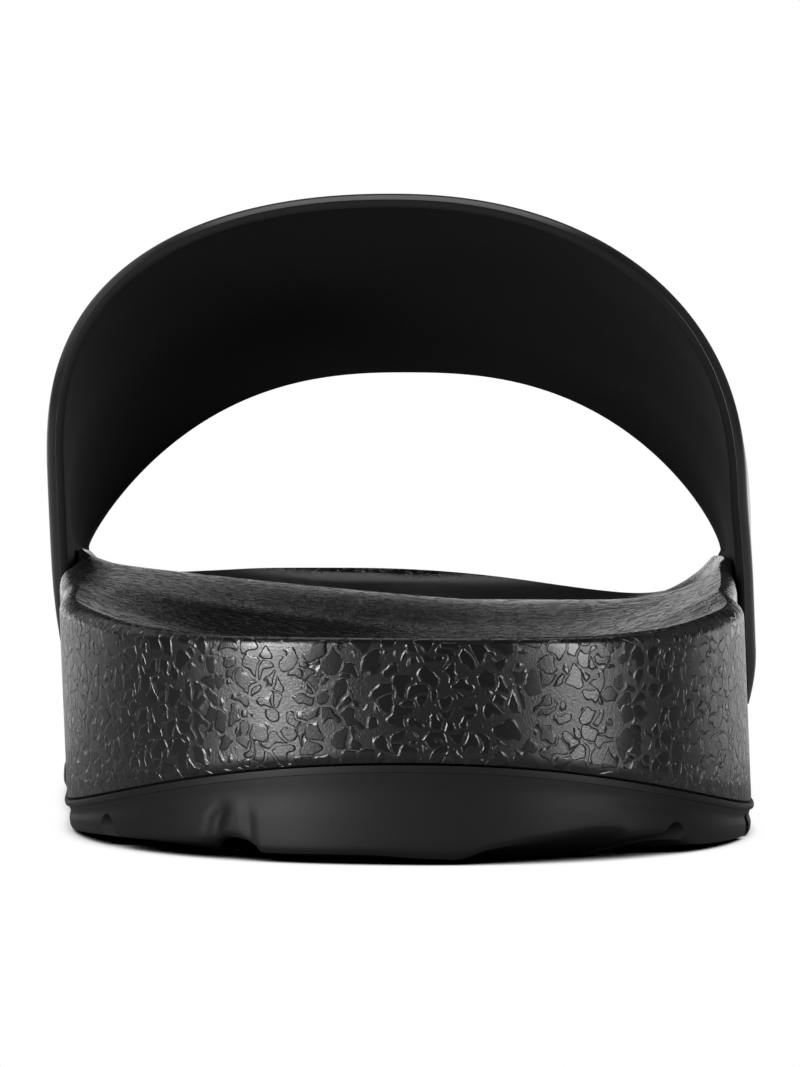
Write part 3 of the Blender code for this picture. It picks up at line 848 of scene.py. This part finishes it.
class Nodes:
    """Short ways to add and join the shader nodes of a material."""

    def __init__(self, material):
        self.tree = material.node_tree
        self.place = self.new("ShaderNodeTexCoord").outputs["Object"]

    def new(self, kind, **values):
        node = self.tree.nodes.new(kind)
        for name, value in values.items():
            setattr(node, name, value)
        return node

    def link(self, source, target):
        self.tree.links.new(source, target)

    def feed(self, socket, value):
        if isinstance(value, bpy.types.NodeSocket):
            self.link(value, socket)
        else:
            socket.default_value = value

    def math(self, operation, a, b=0.0, c=0.0):
        node = self.new("ShaderNodeMath", operation=operation)
        for socket, value in zip(node.inputs, (a, b, c)):
            self.feed(socket, value)
        return node.outputs[0]

    def spread(self, value, change, least):
        """A value between 0 and 1, turned into one between least and least plus change."""
        return self.math("MULTIPLY_ADD", value, change, least)

    def part(self, vector, axis):
        """One part of a vector: X, Y or Z."""
        node = self.new("ShaderNodeSeparateXYZ")
        self.link(vector, node.inputs[0])
        return node.outputs[axis]

    def noise(self, size, detail, output="Fac"):
        node = self.new("ShaderNodeTexNoise")
        self.link(self.place, node.inputs["Vector"])
        node.inputs["Scale"].default_value = 1.0 / size
        node.inputs["Detail"].default_value = detail
        return node.outputs[output]

    def cells(self, place, size, feature):
        """Distances in a pattern of cells: from their middles for F1, or from the edges between them."""
        node = self.new("ShaderNodeTexVoronoi", feature=feature)
        self.link(place, node.inputs["Vector"])
        node.inputs["Scale"].default_value = 1.0 / size
        return node.outputs["Distance"]

    def moved(self, size, amount):
        """Places pushed about by a noise, so that straight cell edges wander."""
        push = self.new("ShaderNodeVectorMath", operation="SUBTRACT")
        self.link(self.noise(size, detail=0.0, output="Color"), push.inputs[0])
        push.inputs[1].default_value = (0.5, 0.5, 0.5)
        scaled = self.new("ShaderNodeVectorMath", operation="SCALE")
        self.link(push.outputs[0], scaled.inputs[0])
        scaled.inputs["Scale"].default_value = amount
        total = self.new("ShaderNodeVectorMath", operation="ADD")
        self.link(self.place, total.inputs[0])
        self.link(scaled.outputs[0], total.inputs[1])
        return total.outputs[0]

    def step(self, value, low, high, start=0.0, end=1.0):
        """A smooth step from start, where a value is low, to end, where it is high."""
        node = self.new("ShaderNodeMapRange", interpolation_type="SMOOTHSTEP")
        self.link(value, node.inputs["Value"])
        node.inputs["From Min"].default_value = low
        node.inputs["From Max"].default_value = high
        node.inputs["To Min"].default_value = start
        node.inputs["To Max"].default_value = end
        return node.outputs["Result"]

    def bump(self, height, distance, strength=1.0, normal=None):
        node = self.new("ShaderNodeBump")
        self.link(height, node.inputs["Height"])
        node.inputs["Distance"].default_value = distance
        node.inputs["Strength"].default_value = strength
        if normal is not None:
            self.link(normal, node.inputs["Normal"])
        return node.outputs["Normal"]


def grained_foam():
    """Black moulded foam with a grain like leather: low flat islands of many shapes on a sanded ground."""
    material, shader = new_material("grained_foam", FOAM_BLACK, 0.3)
    n = Nodes(material)
    wander = n.moved(WANDER_SIZE, WANDER)
    middles = n.math("SUBTRACT", ISLAND_REACH, n.cells(wander, ISLAND_SIZE, "F1"))
    edges = n.cells(wander, ISLAND_SIZE, "DISTANCE_TO_EDGE")
    widths = n.spread(n.noise(GAP_CHANGE_SIZE, detail=0.0), GAP_CHANGE, GAP_LEAST)
    field = n.math("SMOOTH_MIN", middles, n.math("SUBTRACT", edges, widths), ISLAND_ROUNDING)
    towards_toe = n.step(n.part(n.place, "Y"), GRAIN_END, GRAIN_END + GRAIN_FADE)
    on_bed = n.step(n.part(n.new("ShaderNodeNewGeometry").outputs["Normal"], "Z"), *BED_TILT)
    grained = n.math("SUBTRACT", 1.0, n.math("MULTIPLY", towards_toe, on_bed))
    islands = n.math("MULTIPLY", n.step(field, *ISLAND_SLOPE), grained)
    sanded = n.spread(islands, SAND_ON_ISLANDS - 1.0, 1.0)
    sand = n.math("MULTIPLY", n.noise(SAND_SIZE, detail=2.0), sanded)
    relief = n.bump(islands, ISLAND_HEIGHT)
    n.link(n.bump(sand, SAND_HEIGHT, SAND_STRENGTH, relief), shader.inputs["Normal"])
    ground = n.spread(islands, -ISLAND_GLOSS, SAND_ROUGHNESS)
    n.link(n.spread(n.noise(CLOUD_SIZE, detail=3.0), CLOUD_ROUGHNESS, ground), shader.inputs["Roughness"])
    return material


def outsole_rubber():
    """Matt black rubber with a faint mould texture."""
    material, shader = new_material("outsole_rubber_skin", RUBBER_BLACK, 0.5)
    shader.inputs["Specular IOR Level"].default_value = 0.11
    n = Nodes(material)
    fine = n.noise(size=0.35 * MM, detail=3.0)
    broad = n.noise(size=7.0 * MM, detail=2.0)
    relief = n.bump(fine, distance=0.02 * MM, strength=0.5)
    n.link(n.bump(broad, distance=0.1 * MM, strength=0.4, normal=relief), shader.inputs["Normal"])
    n.link(n.spread(broad, change=0.08, least=0.46), shader.inputs["Roughness"])
    return material


def strap_skin():
    """Outer skin of the strap: smooth satin black."""
    material, shader = new_material("strap_skin", STRAP_BLACK, 0.3)
    n = Nodes(material)
    fine = n.noise(size=0.3 * MM, detail=3.0)
    broad = n.noise(size=14.0 * MM, detail=2.0)
    n.link(n.bump(fine, distance=0.012 * MM, strength=0.5), shader.inputs["Normal"])
    n.link(n.spread(broad, change=0.1, least=0.24), shader.inputs["Roughness"])
    return material


def strap_inside():
    """Inner face of the strap: dull black, which takes almost no light."""
    material, shader = new_material("strap_inside", INSIDE_BLACK, 0.85)
    shader.inputs["Specular IOR Level"].default_value = 0.1
    n = Nodes(material)
    fine = n.noise(size=0.5 * MM, detail=4.0)
    n.link(n.bump(fine, distance=0.04 * MM, strength=0.6), shader.inputs["Normal"])
    n.link(n.spread(fine, change=0.15, least=0.72), shader.inputs["Roughness"])
    return material


def make_floor():
    """A white floor with a painted contact shadow, black where the sandal stands on it, which throws up less
    light than it shows.
    """
    bpy.ops.mesh.primitive_plane_add(size=FLOOR_SIZE, location=(0.0, 0.0, -FLOOR_GAP))
    floor = bpy.context.object
    floor.name = "floor"
    material = bpy.data.materials.new("white_floor_painted_shadow")
    material.use_nodes = True
    material.node_tree.nodes.clear()
    n = Nodes(material)
    # Painted contact shadow: ambient occlusion near the sandal turns the floor's emitted colour from white to
    # black
    painted_shadow_ao = n.new("ShaderNodeAmbientOcclusion", samples=16)
    painted_shadow_ao.inputs["Distance"].default_value = PAINTED_SHADOW_REACH
    painted_shadow = n.new("ShaderNodeValToRGB")
    painted_shadow.color_ramp.elements[0].position = PAINTED_SHADOW_DARK
    painted_shadow.color_ramp.elements[1].position = PAINTED_SHADOW_LIGHT
    n.link(painted_shadow_ao.outputs["AO"], painted_shadow.inputs["Fac"])
    away = n.new("ShaderNodeVectorMath", operation="LENGTH")
    n.link(n.place, away.inputs[0])
    near = n.step(away.outputs["Value"], GLOW_REACH, 2.0 * GLOW_REACH, NEAR_GLOW, FAR_GLOW)
    back = n.step(n.part(n.place, "Y"), BACK_START, BACK_FULL, 0.0, BACK_GLOW)
    seen = n.new("ShaderNodeLightPath").outputs["Is Camera Ray"]
    glow = n.new("ShaderNodeEmission")
    n.link(painted_shadow.outputs["Color"], glow.inputs["Color"])
    n.link(n.math("MAXIMUM", seen, n.math("MAXIMUM", near, back)), glow.inputs["Strength"])
    n.link(glow.outputs[0], n.new("ShaderNodeOutputMaterial").inputs["Surface"])
    floor.data.materials.append(material)
    floor.visible_diffuse = False
    floor.visible_shadow = False


def make_shade():
    """A dark patch under the sandal, which keeps the light that comes through the floor off the underside."""
    place = (0.0, 0.0, -SHADE_GAP)
    bpy.ops.mesh.primitive_circle_add(vertices=SHADE_SIDES, radius=1.0, fill_type="NGON", location=place)
    shade = bpy.context.object
    shade.name = "floor_shade"
    low, high = cad_box
    shade.scale = (0.5 * (high[0] - low[0]) + SHADE_MARGIN, 0.5 * (high[1] - low[1]) + SHADE_MARGIN, 1.0)
    material, shader = new_material("shade_black", (0.0, 0.0, 0.0), 1.0)
    shader.inputs["Specular IOR Level"].default_value = 0.0
    shade.data.materials.append(material)
    shade.visible_camera = False


def make_world():
    """White to the camera, and almost no light from elsewhere."""
    world = bpy.data.worlds.new("studio")
    bpy.context.scene.world = world
    world.use_nodes = True
    tree = world.node_tree
    back = tree.nodes["Background"]
    path = tree.nodes.new("ShaderNodeLightPath")
    strength = tree.nodes.new("ShaderNodeMath")
    strength.operation = "MULTIPLY_ADD"
    strength.inputs[1].default_value = 1.0 - WORLD_GLOW
    strength.inputs[2].default_value = WORLD_GLOW
    back.inputs["Color"].default_value = (1.0, 1.0, 1.0, 1.0)
    tree.links.new(path.outputs["Is Camera Ray"], strength.inputs[0])
    tree.links.new(strength.outputs[0], back.inputs["Strength"])


def soft_box(name, azimuth, distance, height, width, tall, power):
    """A rectangular light round the sandal, aimed at its heel."""
    light = bpy.data.lights.new(name, "AREA")
    light.shape = "RECTANGLE"
    light.size = width
    light.size_y = tall
    light.energy = power
    lamp = bpy.data.objects.new(name, light)
    bpy.context.scene.collection.objects.link(lamp)
    heel = Vector((0.0, cad_box[0][1] + HEEL_REACH, AIM_HEIGHT))
    turn = math.radians(azimuth)
    lamp.location = heel + Vector((math.sin(turn) * distance, -math.cos(turn) * distance, height - heel.z))
    aim = heel - lamp.location
    lamp.rotation_euler = aim.to_track_quat("-Z", "Y").to_euler()
    lamp.visible_camera = False


def make_camera():
    camera = bpy.data.cameras.new("camera")
    camera.sensor_fit = "VERTICAL"
    camera.sensor_height = SENSOR
    camera.lens = FOCAL_PIXELS / PHOTO_HEIGHT * SENSOR
    camera.clip_start = 0.01
    camera.clip_end = 20.0
    view = bpy.data.objects.new("camera", camera)
    bpy.context.scene.collection.objects.link(view)
    view.location = (FRAME_SHIFT[0], cad_box[0][1] - CAMERA_DISTANCE, CAMERA_HEIGHT)
    pitch = math.atan((0.5 * PHOTO_HEIGHT - HORIZON_ROW) / FOCAL_PIXELS)
    yaw = math.atan((MIDDLE_COLUMN - 0.5 * PHOTO_WIDTH) / FOCAL_PIXELS)
    turn = Matrix.Rotation(yaw, 4, "Z") @ Matrix.Rotation(0.5 * math.pi - pitch, 4, "X")
    view.rotation_euler = (turn @ Matrix.Rotation(CAMERA_ROLL, 4, "Z")).to_euler()
    bpy.context.scene.camera = view


def dress(piece, node, slot, *materials):
    """Gives a piece its skins and its body, and hides the CAD node that it replaces. The slot is not used."""
    for material in materials:
        piece.data.materials.append(material)
    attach(piece, "root")
    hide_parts(node)


make_camera()
make_world()
make_floor()
make_shade()
for box in SOFT_BOXES:
    soft_box(*box)
midsole = make_midsole()
outsole = make_outsole()
strap = make_strap()
dress(midsole, "midsole", "midsole_foam", grained_foam())
dress(outsole, "outsole", "outsole_rubber", outsole_rubber())
dress(strap, "strap", "strap_rubber", strap_skin(), strap_inside())
bpy.context.scene.view_settings.view_transform = "Standard"
